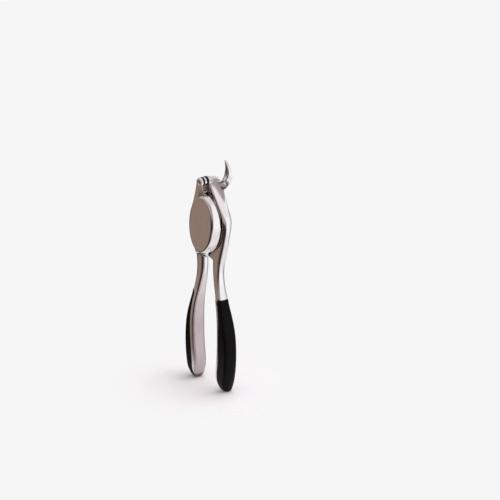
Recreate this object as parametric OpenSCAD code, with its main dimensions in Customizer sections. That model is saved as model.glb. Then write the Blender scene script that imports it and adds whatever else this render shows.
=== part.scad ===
// Pliers for drawing sparkling-wine corks, standing on the ends of the handles.
// X runs to the right, Y away from the viewer, Z up. The hinge axis runs along Y.

/* [Heights] */
// Height where the handles bow out the most
bow_height = 32; // [28:1:36]
// Height of the upper end of the grips above the bow
grip_rise = 46; // [43:1:50]
// Height of the waist above the grips
waist_rise = 20; // [17:1:24]
// Height of the lower end of the jaws above the waist
horn_rise = 12; // [10:0.5:14]
// Height of the hinge axis above the lower end of the jaws
hinge_rise = 66; // [64:0.5:69]

/* [Hinge] */
// Radius of the hinge pin
pin_radius = 1.5; // [1.3:0.1:1.6]
// Radius of the pin head
pin_head_radius = 2.1; // [1.9:0.1:2.2]
// Length of the pin head
pin_head_length = 1; // [0.8:0.1:1.4]
// Gap between the pin and the bore that turns on it
running_gap = 0.05; // [0.02:0.01:0.08]
// Gap between the pin and the bore that holds it
held_gap = 0.02; // [0.01:0.01:0.04]
// Play along the pin
end_play = 0.1; // [0.05:0.05:0.2]
// Radius of the ear on the cap lever
front_ear_radius = 3.8; // [3.5:0.1:4.4]
// Length of the ear on the cap lever along the pin
front_ear_length = 2.4; // [2.2:0.1:2.8]
// Radius of the ear on the hook lever
rear_ear_radius = 3.2; // [3.1:0.1:3.6]
// Length of the ear on the hook lever along the pin
rear_ear_length = 3.5; // [3:0.1:4]
// Thickness of each washer
washer_thickness = 1.6; // [1.4:0.1:1.8]
// Radius of the washers
washer_radius = 3.7; // [3.5:0.1:3.8]
// Radius of the spacer ring
spacer_radius = 3.2; // [3:0.1:3.4]

/* [Cork cap] */
// Half the width of the oval cap
cap_half_width = 15.5; // [15:0.1:16.5]
// Half the height of the oval cap
cap_half_height = 25; // [24:0.1:26]
// Depth of the cap from its face to its rim
cap_depth = 8; // [7.6:0.1:8.8]
// Thickness of the cap wall at the face
cap_wall = 1.6; // [1.2:0.1:2.4]
// How far the cap wall spreads from the face to the rim
cap_spread = 2; // [1:0.1:2.5]
// How much shallower the cap is at its top than at its middle
rim_fall = 3.4; // [2:0.1:4]
// Thickness of the cap face
cap_face = 2; // [1.5:0.1:3]
// Height of the cap centre below the hinge
cap_drop = 35.6; // [35:0.1:36.5]
// Sideways place of the cap centre
cap_offset = 1.6; // [1:0.1:2]
// Lean of the cap along its lever, degrees
cap_tilt = 10; // [6:1:12]
// Gap between the cap rim and the hook lever
rim_gap = 0.4; // [0.3:0.1:0.6]

/* [Jaws] */
// Radius of the closed jaws
jaw_radius = 13; // [12:0.1:14]
// Half width of the clearance above and below the cork
relief_half_width = 7.5; // [6:0.5:9]
// Half height of the clearance above and below the cork
relief_half_height = 18.5; // [17:0.5:20]
// Radius of the grooves between the teeth
tooth_groove_radius = 0.9; // [0.6:0.1:1.2]
// Angle from groove to groove
tooth_pitch = 22; // [18:1:24]
// Half the outside width of the jaws
jaw_outer = 23; // [22.4:0.1:24.2]
// Gap left between the two jaws where they meet
parting_gap = 0.6; // [0.4:0.1:1]

/* [Levers] */
// Thickness of the jaws along the hinge axis
head_breadth = 6.2; // [5.6:0.1:7]
// Breadth of the handles along the hinge axis
grip_breadth = 12.2; // [11:0.1:13.5]
// Outside of the waist from the middle
waist_outer = 14.6; // [13.6:0.1:15.6]
// Inside of the waist from the middle
waist_inner = 5.8; // [5:0.1:6.6]
// Outside of the bow from the middle
bow_outer = 26.9; // [26:0.1:27.8]
// Inside of the bow from the middle
bow_inner = 15.8; // [15:0.1:16.2]
// Outside of the handle ends from the middle
end_outer = 21.8; // [21:0.1:22.6]
// Thickness of the metal under the grips
core_thickness = 4.4; // [4:0.1:4.8]

/* [Grips] */
// Bulge of the outer side of the grips
grip_crown = 1.4; // [0.8:0.1:1.6]
// Height over which the grips run out to their upper edge
grip_taper = 4; // [3:0.5:6]
// Thickness of the grips at their upper edge
grip_edge = 0.7; // [0.6:0.1:1]
// Gap between a grip and its handle
grip_gap = 0.05; // [0.02:0.01:0.1]
// Radius of the pegs of a grip
peg_radius = 1.8; // [1.4:0.1:2.4]
// Length of the pegs of a grip
peg_length = 2.4; // [1.6:0.1:2.8]
// Gap round a peg
peg_gap = 0.1; // [0.05:0.05:0.2]

/* [Hook] */
// Height of the claw above the hinge
hook_rise = 21; // [20:0.1:22]
// Reach of the claw from the hinge
hook_reach = 22.9; // [22.3:0.1:23.5]
// Thickness of the claw at its root
hook_thickness = 3.6; // [3.2:0.1:4]
// Thickness of the claw at its tip
hook_tip_thickness = 1.4; // [1:0.1:2]

/* [Hidden] */
$fn = 72;

eps = 0.01;
join = 1;
far = 40;

// Heights, each counted from the one below
grip_top = bow_height + grip_rise;
waist_height = grip_top + waist_rise;
horn_height = waist_height + horn_rise;
hinge_z = horn_height + hinge_rise;

// Places along the hinge axis, with the box of the tool in the middle
total_depth = cap_depth + rim_gap + head_breadth / 2 + grip_breadth / 2;
front_y = -total_depth / 2;
rim_y = front_y + cap_depth;
head_front_y = rim_y + rim_gap;
mid_y = head_front_y + head_breadth / 2;
head_back_y = mid_y + head_breadth / 2;
front_ear_back_y = front_y + front_ear_length;
rear_ear_front_y = rim_y;
rear_ear_back_y = rear_ear_front_y + rear_ear_length;
rear_washer_front_y = rear_ear_front_y - end_play - washer_thickness;
spacer_front_y = front_ear_back_y + washer_thickness;
ring_bore_radius = pin_radius + running_gap;
handle_back_y = mid_y + grip_breadth / 2;
hook_back_y = handle_back_y - 0.8;
hook_front_y = hook_back_y - hook_thickness;

// Heights of the jaws and the saddle
cork_z = hinge_z - cap_drop;
saddle_z = hinge_z + rear_ear_radius;
ear_room = 1.6;
cap_lever_top = hinge_z - rear_ear_radius - ear_room;
shoulder_rise = 16;
shoulder_drop = 14;
round_start = hinge_z - 3;
half_gap = parting_gap / 2;
ear_chamfer = 0.7;
ear_proud = 0.2;
ear_lean_rise = 8;
ear_lean_drop = 4;

// The edge of the face from the hinge down to the jaw
face_slope = 0.742;
face_offset = 1.3;
face_blend = 2;
jaw_curve = 0.012;
flare_slope = 0.42;
flare_drop = 22;
flare_start = hinge_z - flare_drop;
flare_blend = 6;

// How far the neck comes down over the cap, how wide the claw is, and where the pegs sit
neck_drop = 22;
claw_span = 16.6;
low_peg_rise = 6;
top_peg_drop = 14;

// Shape of the handles
inner_bow_rise = 12;
inner_waist_rise = 5;
breadth_rise = 13;
inner_bow_height = bow_height + inner_bow_rise;
inner_waist_height = waist_height + inner_waist_rise;
breadth_low = bow_height + breadth_rise;
breadth_high = inner_waist_height;
end_inner = 13.4;
end_height = 16;
end_turn = 5;
end_pinch = 3;
end_pinch_height = 12;
core_end = 0.8;
horn_ramp = 1.2;
step_ramp = 0.3;

// Rounding of the edges
handle_edge = 0.9;
jaw_edge = 0.25;
core_edge = 0.35;
outer_edge = 0.7;
front_round = 1.4;
shoulder_edge = 2.3;
outer_crown = 0.5;
shoulder_hollow = 2;
grip_round = 1.6;

// Room behind the jaws round the bottle
jaw_lead = 2;

// Lip under the cap
lip_height = 18;
lip_inset = 0.3;
lip_skin = 0.2;

function clamped(t) = min(1, max(0, t));
function ease(t) = (1 - cos(180 * clamped(t))) / 2;
function between(a, b, t) = a + (b - a) * t;
function lean(z, low, high, power) = ease(pow(clamped((z - low) / (high - low)), power));
function soft_min(a, b, k) =
    let (h = clamped(0.5 + (b - a) / (2 * k)))
    between(b, a, h) - k * h * (1 - h);

// Inside of a handle, from the middle of the tool
function inner_bow(z) =
    z > inner_bow_height
        ? between(bow_inner, waist_inner, lean(z, inner_bow_height, inner_waist_height, 1.25))
        : bow_inner - (bow_inner - end_inner) * pow((inner_bow_height - max(z, end_height))
            / (inner_bow_height - end_height), 2);
function end_round(z) =
    z > end_height ? 0 : end_turn * (1 - sqrt(max(0, 1 - pow(1 - z / end_height, 2))));
function inner_x(z) =
    between(inner_bow(z) + end_round(z), half_gap, clamped((z - horn_height) / horn_ramp));

// Outside of a handle with its grip, and of the jaw
function jaw_side(z) = jaw_outer - jaw_curve * pow(z - cork_z, 2);
function face_edge(z) = face_offset + face_slope * (hinge_z - z);
function outer_x(z) =
    z < bow_height ? bow_outer - (bow_outer - end_outer) * pow(1 - z / bow_height, 2)
    : z < waist_height ? between(bow_outer, waist_outer, lean(z, bow_height, waist_height, 1.2))
    : z < cork_z ? between(waist_outer, jaw_outer, lean(z, waist_height, cork_z, 1))
    : max(half_gap + join, soft_min(jaw_side(z), face_edge(z), face_blend));

// Outside of the back of the shoulder that carries the claw, which spreads towards the hinge
function flare(d) = flare_slope * (d + sqrt(d * d + flare_blend * flare_blend)) / 2;
function back_x(z, shoulder) =
    outer_x(z) + (shoulder && z > horn_height ? flare(z - flare_start) : 0);

// Outside of the metal under a grip, which runs out to the edge of the grip at the top
function core_x(z) =
    between(inner_bow(z) + core_thickness, outer_x(z) - grip_edge,
        clamped((z - grip_top + grip_taper) / grip_taper));
function under_grip(z) = z < grip_top + eps;
function grip_depth(z) = outer_x(z) - core_x(z) - grip_gap;

// Half breadth of a lever along the hinge axis
function half_breadth(z) =
    between(grip_breadth, head_breadth, lean(z, breadth_low, breadth_high, 1)) / 2
        - end_pinch * pow(max(0, 1 - z / end_pinch_height), 2);

// Back of the jaw at its inside, which runs in to the ear, and at its outside, which runs
// out to the depth of the handles and is rounded over at the saddle
function shoulder_lean(z) = lean(z, cork_z - shoulder_drop, cork_z + shoulder_rise, 1);
function ear_lean(z) = lean(z, cork_z + ear_lean_rise, hinge_z - ear_lean_drop, 1);
function inner_back_y(z, shoulder) =
    mid_y + half_breadth(z)
        - (shoulder ? (head_back_y - rear_ear_back_y + ear_proud) * ear_lean(z) : 0);
function outer_back_y(z, shoulder) =
    mid_y + half_breadth(z)
        + (shoulder ? (grip_breadth - head_breadth) / 2 * shoulder_lean(z)
            - (handle_back_y - rear_ear_back_y + ear_proud)
                * pow(clamped((z - round_start) / (saddle_z - round_start)), 2) : 0);
function front_edge(z) =
    min(outer_edge + front_round * lean(z, grip_top, inner_waist_height, 1), 0.6 * (outer_x(z) - half_gap));
function back_edge(z, shoulder) =
    outer_edge + (shoulder ? shoulder_edge * shoulder_lean(z) : 0);
function crown_at(z, shoulder) =
    outer_crown - (shoulder ? shoulder_hollow * lean(z, cork_z, hinge_z - ear_lean_drop, 1) : 0);

function unit2(v) = v / norm(v);
function round_corner(a, p, b, r) =
    let (q = p + r * unit2(a - p), s = p + r * unit2(b - p))
    [for (t = [0, 1 / 3, 2 / 3, 1]) (1 - t) * (1 - t) * q + 2 * t * (1 - t) * p + t * t * s];

// Level section of a lever or grip: four rounded corners and a crowned or hollow outer side.
// Widths are given at the inside, the front and the back, and depths at the front and at
// the inner and the outer corner of the back.
function section(width, depth, r_in, r_front, r_back, crown) =
    let (
        inner_front = [width[0], depth[0]],
        outer_front = [width[1], depth[0]],
        outer_back = [width[2], depth[2]],
        inner_back = [width[0], depth[1]],
        side = outer_back - outer_front,
        length = norm(side),
        out = [side[1], -side[0]] / length,
        outer = concat(
            round_corner(inner_front, outer_front, outer_back, r_front),
            [for (k = [1:3])
                between(outer_front, outer_back, between(r_front / length, 1 - r_back / length, k / 4))],
            round_corner(outer_front, outer_back, inner_back, r_back))
    )
    concat(
        round_corner(inner_back, inner_front, outer_front, r_in),
        [for (p = outer) let (t = clamped((p - outer_front) * side / (length * length)))
            p + out * crown * 4 * t * (1 - t)],
        round_corner(outer_back, inner_back, inner_front, r_in)
    );

function even_depth(z) = [mid_y - half_breadth(z), mid_y + half_breadth(z), mid_y + half_breadth(z)];

function metal_section(z, shoulder) =
    under_grip(z)
        ? section([inner_x(z), core_x(z), core_x(z)], even_depth(z), handle_edge, core_edge, core_edge, 0)
        : section([inner_x(z), outer_x(z), back_x(z, shoulder)],
            [mid_y - half_breadth(z), inner_back_y(z, shoulder), outer_back_y(z, shoulder)],
            z < horn_height ? handle_edge : jaw_edge,
            front_edge(z), back_edge(z, shoulder), crown_at(z, shoulder));

function grip_section(z) =
    let (edge = min(grip_round, grip_depth(z) / 2))
    section([core_x(z) + grip_gap, outer_x(z), outer_x(z)], even_depth(z),
        min(core_edge, grip_depth(z) / 4), edge, edge, min(grip_crown, grip_depth(z) / 3));

// Closed skin through a row of sections at the given heights
module skin(sections, heights) {
    n = len(sections[0]);
    m = len(sections);
    points = [for (i = [0:m - 1]) for (p = sections[i]) [p[0], p[1], heights[i]]];
    sides = [for (i = [0:m - 2]) for (j = [0:n - 1])
        let (a = i * n + j, b = i * n + (j + 1) % n, c = a + n, d = b + n)
        for (f = [[a, c, b], [b, c, d]]) f];
    bottom = [for (j = [0:n - 1]) j];
    top = [for (j = [n - 1:-1:0]) (m - 1) * n + j];
    polyhedron(points, concat([bottom], sides, [top]), convexity = 6);
}

end_heights = [for (k = [2:9]) end_height * pow(k / 9, 1.6)];
bow_heights = [for (k = [1:10]) between(end_height, grip_top - grip_taper, k / 10)];
taper_heights = [for (k = [1:2]) grip_top - grip_taper * (1 - k / 3)];
waist_heights = [for (k = [1:8]) between(grip_top, horn_height, k / 8)];

module lever_body(top_z, shoulder) {
    jaw_foot = horn_height + horn_ramp;
    jaw_heights = [for (k = [0:16]) between(jaw_foot, top_z, k / 16)];
    heights = concat([core_end], end_heights, bow_heights, taper_heights,
        [grip_top, grip_top + step_ramp], waist_heights, jaw_heights);
    skin([for (z = heights) metal_section(z, shoulder)], heights);
}

module grip_body() {
    heights = concat([0, core_end / 2, core_end], end_heights, bow_heights, taper_heights,
        [grip_top - grip_gap]);
    skin([for (z = heights) grip_section(z)], heights);
}

// Flat shape in X and Z drawn out along the hinge axis
module slab(y0, y1) {
    translate([0, y1, 0])
        rotate([90, 0, 0])
            linear_extrude(y1 - y0)
                children();
}

// Round bar along the hinge axis
module bar(y0, y1, r) {
    translate([0, y0, 0])
        rotate([-90, 0, 0])
            cylinder(h = y1 - y0, r = r);
}

module at_hinge() {
    translate([0, 0, hinge_z])
        children();
}

module cap_oval(inset) {
    translate([cap_offset, cork_z])
        rotate(-cap_tilt)
            scale([cap_half_width - inset, cap_half_height - inset])
                circle(r = 1);
}

// Opening between the jaws, with the grooves that leave the teeth standing
module jaw_opening(side) {
    slab(rim_y, handle_back_y + join)
        translate([0, cork_z]) {
            circle(r = jaw_radius);
            scale([relief_half_width, relief_half_height])
                circle(r = 1);
            for (k = [-2:2])
                rotate(side > 0 ? k * tooth_pitch : 180 + k * tooth_pitch)
                    translate([jaw_radius, 0])
                        circle(r = tooth_groove_radius, $fn = 24);
        }
}

function curve(a, b, c, n) =
    [for (k = [0:n]) let (t = k / n) (1 - t) * (1 - t) * a + 2 * t * (1 - t) * b + t * t * c];

// Neck from the front ear down to the cap
module neck() {
    left_top = [-0.974 * front_ear_radius, hinge_z];
    left_turn = [-1.4 * front_ear_radius, hinge_z - 0.364 * neck_drop];
    left_foot = [cap_offset - 0.71 * cap_half_width, hinge_z - neck_drop];
    right_foot = [cap_offset + 0.645 * cap_half_width, hinge_z - 0.773 * neck_drop];
    right_turn = [1.5 * front_ear_radius, hinge_z - 0.43 * neck_drop];
    right_top = [0.974 * front_ear_radius, hinge_z];
    polygon(concat(
        curve(left_top, left_turn, left_foot, 10),
        curve(right_foot, right_turn, right_top, 10)));
}

module grip_pegs(gap) {
    for (z = [end_height + low_peg_rise, grip_top - grip_taper - top_peg_drop])
        translate([core_x(z) + join, mid_y, z])
            rotate([0, -90, 0])
                cylinder(h = join + peg_length + gap, r = peg_radius + gap);
}

// Sloping lip that carries the cap on the handle
module cap_lip() {
    lip_outer = outer_x(horn_height + 6) - 2;
    hull() {
        slab(front_y + cap_face, front_y + cap_face + lip_skin)
            cap_oval(lip_inset);
        translate([-lip_outer, head_front_y, horn_height - horn_ramp / 2])
            cube([lip_outer - half_gap, join, lip_height]);
    }
}

// Oval block of the cap, wider at the rim than at the face
module cap_wall_cone() {
    hull() {
        slab(front_y, front_y + lip_skin)
            cap_oval(0);
        slab(head_front_y, head_front_y + join)
            cap_oval(-cap_spread);
    }
}

// Cap and lip, cut away behind the rim where the other lever stands
module cap_bowl() {
    difference() {
        union() {
            cap_wall_cone();
            cap_lip();
        }
        translate([-half_gap, 0, 0])
            rotate([90, 0, 90])
                linear_extrude(height = far)
                    polygon([[rim_y, 0], [total_depth, 0], [total_depth, saddle_z],
                        [rim_y - rim_fall * (saddle_z - cork_z) / cap_half_height, saddle_z],
                        [rim_y, cork_z]]);
        slab(front_y + cap_face, head_front_y + 2 * join)
            cap_oval(cap_wall);
    }
}

module cap_lever() {
    color([0.72, 0.7, 0.7])
        difference() {
            union() {
                mirror([1, 0, 0])
                    lever_body(cap_lever_top, false);
                cap_bowl();
                slab(front_y, front_ear_back_y)
                    neck();
                at_hinge()
                    bar(front_y, front_ear_back_y, front_ear_radius);
            }
            slab(front_y + cap_face, rim_y)
                cap_oval(cap_wall);
            jaw_opening(-1);
            at_hinge()
                bar(front_y - join, front_ear_back_y + join, pin_radius + held_gap);
            mirror([1, 0, 0])
                grip_pegs(peg_gap);
        }
}

// A point of the claw, in parts of its width back from the outer side and of its height over the hinge
function claw_at(back, up) = [hook_reach - back * claw_span, hinge_z + up * hook_rise];

// Side view of the claw
module claw() {
    tip = claw_at(0.42, 1);
    throat = claw_at(0.687, 0.081);
    root = claw_at(1, 0);
    belly = claw_at(0.181, 0.057);
    cheek = claw_at(0.018, 0.543);
    polygon(concat(
        curve(tip, claw_at(0.494, 0.371), throat, 12),
        curve(throat, claw_at(0.759, 0), root, 6),
        [claw_at(0.91, -0.143), claw_at(0.789, -0.429)],
        curve(claw_at(0.687, -0.324), claw_at(0.428, -0.21), belly, 8),
        curve(belly, claw_at(-0.024, 0.248), cheek, 10),
        curve(cheek, claw_at(0.06, 0.8), tip, 10)));
}

// The claw is full in the middle, thins to the tip and runs back into the shoulder
module hook() {
    thinning = (hook_thickness - hook_tip_thickness) / 2;
    full_z = hinge_z + 0.286 * hook_rise;
    front_foot_z = hinge_z + 0.143 * hook_rise;
    back_foot_z = hinge_z - 0.381 * hook_rise;
    tip_z = hinge_z + hook_rise + eps;
    intersection() {
        slab(hook_front_y, hook_back_y)
            claw();
        rotate([90, 0, 90])
            linear_extrude(hook_reach + join)
                polygon([
                    [hook_back_y - join, back_foot_z],
                    [hook_back_y, back_foot_z],
                    [hook_back_y, full_z],
                    [hook_back_y - thinning, tip_z],
                    [hook_front_y + thinning, tip_z],
                    [hook_front_y, full_z],
                    [hook_front_y, front_foot_z]]);
    }
}

// Ear on the hook lever, with its rear edge broken at 45 degrees
module rear_ear() {
    intersection() {
        bar(rear_ear_front_y, rear_ear_back_y, rear_ear_radius);
        translate([0, rear_ear_front_y, 0])
            rotate([-90, 0, 0])
                cylinder(h = rear_ear_length, r1 = rear_ear_radius + rear_ear_length - ear_chamfer,
                    r2 = rear_ear_radius - ear_chamfer);
    }
}

module hook_lever() {
    color([0.75, 0.73, 0.73])
        difference() {
            union() {
                lever_body(saddle_z, true);
                hook();
                at_hinge()
                    rear_ear();
            }
            jaw_opening(1);
            slab(head_back_y + eps, handle_back_y + join)
                translate([0, cork_z])
                    circle(r = jaw_radius + jaw_lead);
            at_hinge() {
                bar(rear_ear_front_y - join, rear_ear_back_y + join, pin_radius + running_gap);
                bar(rear_ear_back_y - pin_head_length - end_play, handle_back_y + join,
                    pin_head_radius + running_gap);
            }
            grip_pegs(peg_gap);
        }
}

module grip() {
    grip_body();
    grip_pegs(0);
}

module right_grip() {
    color([0.06, 0.05, 0.055])
        grip();
}

module left_grip() {
    color([0.06, 0.05, 0.055])
        mirror([1, 0, 0])
            grip();
}

module hinge_pin() {
    color([0.55, 0.5, 0.46])
        at_hinge() {
            bar(front_y, rear_ear_back_y, pin_radius);
            bar(rear_ear_back_y - pin_head_length, rear_ear_back_y, pin_head_radius);
        }
}

module ring(y0, y1, r) {
    at_hinge()
        difference() {
            bar(y0, y1, r);
            bar(y0 - join, y1 + join, ring_bore_radius);
        }
}

module hinge_spacer() {
    color([0.85, 0.85, 0.86])
        ring(spacer_front_y, rear_washer_front_y, spacer_radius);
}

module front_washer() {
    color([0.05, 0.05, 0.05])
        ring(front_ear_back_y, spacer_front_y, washer_radius);
}

module rear_washer() {
    color([0.05, 0.05, 0.05])
        ring(rear_washer_front_y, rear_washer_front_y + washer_thickness, washer_radius);
}

cap_lever();
hook_lever();
left_grip();
right_grip();
hinge_pin();
hinge_spacer();
front_washer();
rear_washer();
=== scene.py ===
"""Looks of a pair of pliers for drawing sparkling-wine corks: two castings, two black grips, one hinge."""
import math

import bmesh
import bpy
import numpy as np
from mathutils import Matrix


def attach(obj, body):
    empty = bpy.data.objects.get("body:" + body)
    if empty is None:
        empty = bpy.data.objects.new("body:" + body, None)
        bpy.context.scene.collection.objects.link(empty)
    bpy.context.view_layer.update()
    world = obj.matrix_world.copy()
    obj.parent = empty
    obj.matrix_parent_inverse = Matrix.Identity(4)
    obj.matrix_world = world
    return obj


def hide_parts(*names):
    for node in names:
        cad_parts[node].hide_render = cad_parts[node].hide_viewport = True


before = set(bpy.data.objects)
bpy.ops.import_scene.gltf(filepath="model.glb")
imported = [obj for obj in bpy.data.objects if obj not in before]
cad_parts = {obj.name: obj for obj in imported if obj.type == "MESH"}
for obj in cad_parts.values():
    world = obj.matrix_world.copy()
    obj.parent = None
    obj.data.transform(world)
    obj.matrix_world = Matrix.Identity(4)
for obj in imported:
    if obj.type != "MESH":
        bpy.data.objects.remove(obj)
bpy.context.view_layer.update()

# Sizes in mm, the same as in the solids
MM = 0.001
HINGE_Z = 176.0
BOW_Z, GRIP_TOP, WAIST_Z, HORN_Z = 32.0, 78.0, 98.0, 110.0
CORK_Z = HINGE_Z - 35.6
FRONT_Y, RIM_Y, HEAD_FRONT_Y, MID_Y, HEAD_BACK_Y = -8.8, -0.8, -0.4, 2.7, 5.8
FRONT_EAR_R, FRONT_EAR_BACK_Y = 3.8, -6.4
REAR_EAR_R, REAR_EAR_FRONT_Y, REAR_EAR_BACK_Y = 3.2, -0.8, 2.7
PIN_R, PIN_HEAD_R, PIN_HEAD_LENGTH = 1.5, 2.1, 1.0
RUNNING_GAP, HELD_GAP, END_PLAY = 0.05, 0.02, 0.1
WASHER_R, WASHER_T, SPACER_R = 3.7, 1.6, 3.2
CAP_X, CAP_HALF_WIDTH, CAP_HALF_HEIGHT, CAP_TILT = 1.6, 15.5, 25.0, 10.0
CAP_WALL, CAP_FACE, CAP_SPREAD, RIM_FALL = 1.6, 2.0, 2.0, 3.4
JAW_R, JAW_OUTER, TOOTH_GROOVE_R, TOOTH_PITCH = 13.0, 23.0, 0.9, 22.0
RELIEF_HALF_WIDTH, RELIEF_HALF_HEIGHT = 7.5, 18.5
HALF_GAP = 0.3
HEAD_BREADTH, GRIP_BREADTH = 6.2, 12.2
WAIST_OUTER, WAIST_INNER, BOW_OUTER, BOW_INNER, END_OUTER, END_INNER = 14.6, 5.8, 26.9, 15.8, 21.8, 13.4
CORE_T, GRIP_CROWN, GRIP_TAPER, GRIP_EDGE, GRIP_GAP, GRIP_ROUND = 4.4, 1.4, 4.0, 0.7, 0.05, 1.6
INNER_BOW_Z, INNER_WAIST_Z, BREADTH_LOW_Z = BOW_Z + 12, WAIST_Z + 5, BOW_Z + 13
END_Z, END_TURN, END_PINCH, END_PINCH_Z, CORE_END = 16.0, 5.0, 3.0, 12.0, 0.8
HORN_RAMP, STEP_RAMP = 1.2, 0.3
HOOK_RISE, HOOK_REACH, HOOK_T, HOOK_TIP_T = 21.0, 22.9, 3.6, 1.4
HANDLE_BACK_Y = MID_Y + GRIP_BREADTH / 2
HOOK_BACK_Y = HANDLE_BACK_Y - 0.8
HOOK_FRONT_Y = HOOK_BACK_Y - HOOK_T
SADDLE_Z = HINGE_Z + REAR_EAR_R
ROUND_START_Z = HINGE_Z - 3
FLARE_START_Z, FLARE_SLOPE, FLARE_BLEND = HINGE_Z - 22, 0.42, 6.0
SHOULDER_RISE, SHOULDER_DROP, EAR_PROUD = 16.0, 14.0, 0.2
CAP_LEVER_TOP = HINGE_Z - REAR_EAR_R - 1.6
JAW_BOW, HEAD_BLEND = 0.012, 2.0
FACE_EDGE_X, FACE_EDGE_SLOPE = 1.3, 0.742
INNER_BEND, OUTER_BEND = 1.25, 1.2
JAW_LEAD, REAR_EAR_EDGE, GROOVES_EACH_WAY = 2.0, 0.7, 2
DROP_LOW_Z, DROP_TOP_Z = CORK_Z + 8, HINGE_Z - 4

# Edges, crowns and other soft forms, in mm
BEND_BLEND_Z, BEND_REACH, BEND_SAMPLES = END_Z + 8, 6.0, 9
RIGHT_LAP, RIGHT_LAP_SHARE = 2.2, 0.5
LEFT_LAP, LEFT_LAP_SHARE = 0.5, 0.3
FRONT_PINCH, BACK_PINCH = 1.4 * END_PINCH, 0.5 * END_PINCH
LEVER_EDGE, FRONT_EDGE_GAIN, FRONT_EDGE_SHARE, BACK_EDGE_GAIN = 0.7, 1.9, 0.6, 2.3
FRONT_EDGE_LOW_Z, FRONT_EDGE_TOP_Z, BACK_EDGE_LOW_Z = INNER_WAIST_Z - 4, HORN_Z + 8, HORN_Z - 6
NECK_EDGE_LOSS, NECK_EDGE_LOW_Z, NECK_EDGE_TOP_Z = 0.8, CORK_Z + 4, HINGE_Z - 10
INNER_EDGE, INNER_EDGE_SHARE, HEAD_INNER_EDGE = 2.2, 0.4, 0.25
SEAM_FRONT_EDGE, SEAM_BACK_EDGE = 0.2, 0.35
SIDE_CROWN, SHOULDER_HOLLOW = 0.5, 2.0
FRONT_CROWN, SEAM_FRONT_CROWN, FRONT_CROWN_DEPTH = 0.4, 0.1, 3.0
SADDLE_BACK_X, SADDLE_FRONT_LEAN, SADDLE_INNER_BACK_Y, SADDLE_BACK_LEAN = 4.0, 3.6, 6.5, 1.0
CAP_EDGE, EAR_EDGE, EAR_DISH, EAR_DISH_R = 1.9, 1.4, 0.3, 12.0
LIP_INSET, LIP_DROP, LIP_RISE, LIP_SIDE_Z, LIP_SIDE_INSET = 0.3, 0.6, 17.4, HORN_Z + 6, 2.0
NECK_RINGS = ((FRONT_Y, 0.5, 0.0), (FRONT_Y + 0.15, 0.15, 0.0), (FRONT_Y + 0.5, 0.0, 0.3),
              (FRONT_EAR_BACK_Y, 0.0, 2.8))
NECK_FALL, NECK_FALL_X, NECK_FALL_RUN, NECK_FALL_REACH = 1.1, -0.5, 7.0, 1.6
CLAW_RINGS = ((1.0, 0.0), (0.62, 1.0), (0.28, 2.1), (0.08, 2.9), (0.0, HOOK_T))
CLAW_FOOT, CLAW_FULL, CLAW_THIN_FRONT, CLAW_THIN_BACK = 12.0, 6.0, 0.15, 0.85
HOLLOW_R, HOLLOW_DEPTH, HOLLOW_BACK, HOLLOW_UP = 28.0, 2.4, 13.5, 12.0
GRIP_END_ROUND, GRIP_TOP_ROUND, GRIP_SEAM_EDGE = 1.6, 0.35, 0.35
WASHER_EDGE, SPACER_EDGE = 0.12, 0.35

# How finely the skins are drawn, and lengths that reach past the part
RING_STEP, HEAD_RINGS, LEVER_POINTS, GRIP_POINTS = 0.6, 110, 72, 96
PAST, PAST_BACK, NEAR_AXIS, FAR = 1.0, 4.0, 0.001, 60.0

VOXEL = 0.3
SMOOTHING = 12

# Looks, with lengths in metres
METAL_RELIEF, BLACK_RELIEF, BLACK_SPECULAR = 0.0002, 0.0001, 0.09
# Inner sides of the handles, low down: a satin roughness, and a darker lilac tone painted on as shade
SATIN_SHADE_INWARD, SATIN_SHADE_HEIGHT = (-0.005, -0.002), (0.05, 0.104)
INNER_SHADE_TONE, SATIN_ROUGHNESS = (0.62, 0.55, 0.56), 0.3
# Painted shade: within this reach, occlusion darkens the plated colour in recesses, crevices and between
# parts
PAINTED_SHADE_REACH = 0.007
PAINTED_SHADE_TONES = [(0.25, (0.10, 0.075, 0.07)), (0.5, (0.52, 0.43, 0.39)), (0.85, (1, 1, 1))]
FLOOR_R, FLOOR_FADE, FLOOR_DROP, FLOOR_SIDES = 0.085, 0.02, 0.00005, 128
BACKDROP = (0.92, 0.92, 0.925, 1)


def clamped(t):
    return min(1.0, max(0.0, t))


def ease(t):
    return (1 - math.cos(math.pi * clamped(t))) / 2


def between(a, b, t):
    return a + (b - a) * t


def lean(z, low, high, power=1.0):
    return ease(clamped((z - low) / (high - low)) ** power)


def soft_min(a, b, k):
    h = clamped(0.5 + (b - a) / (2 * k))
    return between(b, a, h) - k * h * (1 - h)


def inner_bow(z):
    if z > INNER_BOW_Z:
        return between(BOW_INNER, WAIST_INNER, lean(z, INNER_BOW_Z, INNER_WAIST_Z, INNER_BEND))
    return BOW_INNER - (BOW_INNER - END_INNER) * ((INNER_BOW_Z - max(z, END_Z)) / (INNER_BOW_Z - END_Z)) ** 2


def end_round(z):
    return 0.0 if z > END_Z else END_TURN * (1 - math.sqrt(max(0.0, 1 - (1 - z / END_Z) ** 2)))


def inner_x(z):
    """Inner side of a lever. Towards the end of the handle the bends run softly into each other."""
    if z > BEND_BLEND_Z:
        return between(inner_bow(z), HALF_GAP, clamped((z - HORN_Z) / HORN_RAMP))
    reach = min(BEND_REACH, z)
    near = np.linspace(-reach, reach, BEND_SAMPLES)
    return sum(inner_bow(z + d) + end_round(z + d) for d in near) / BEND_SAMPLES


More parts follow.
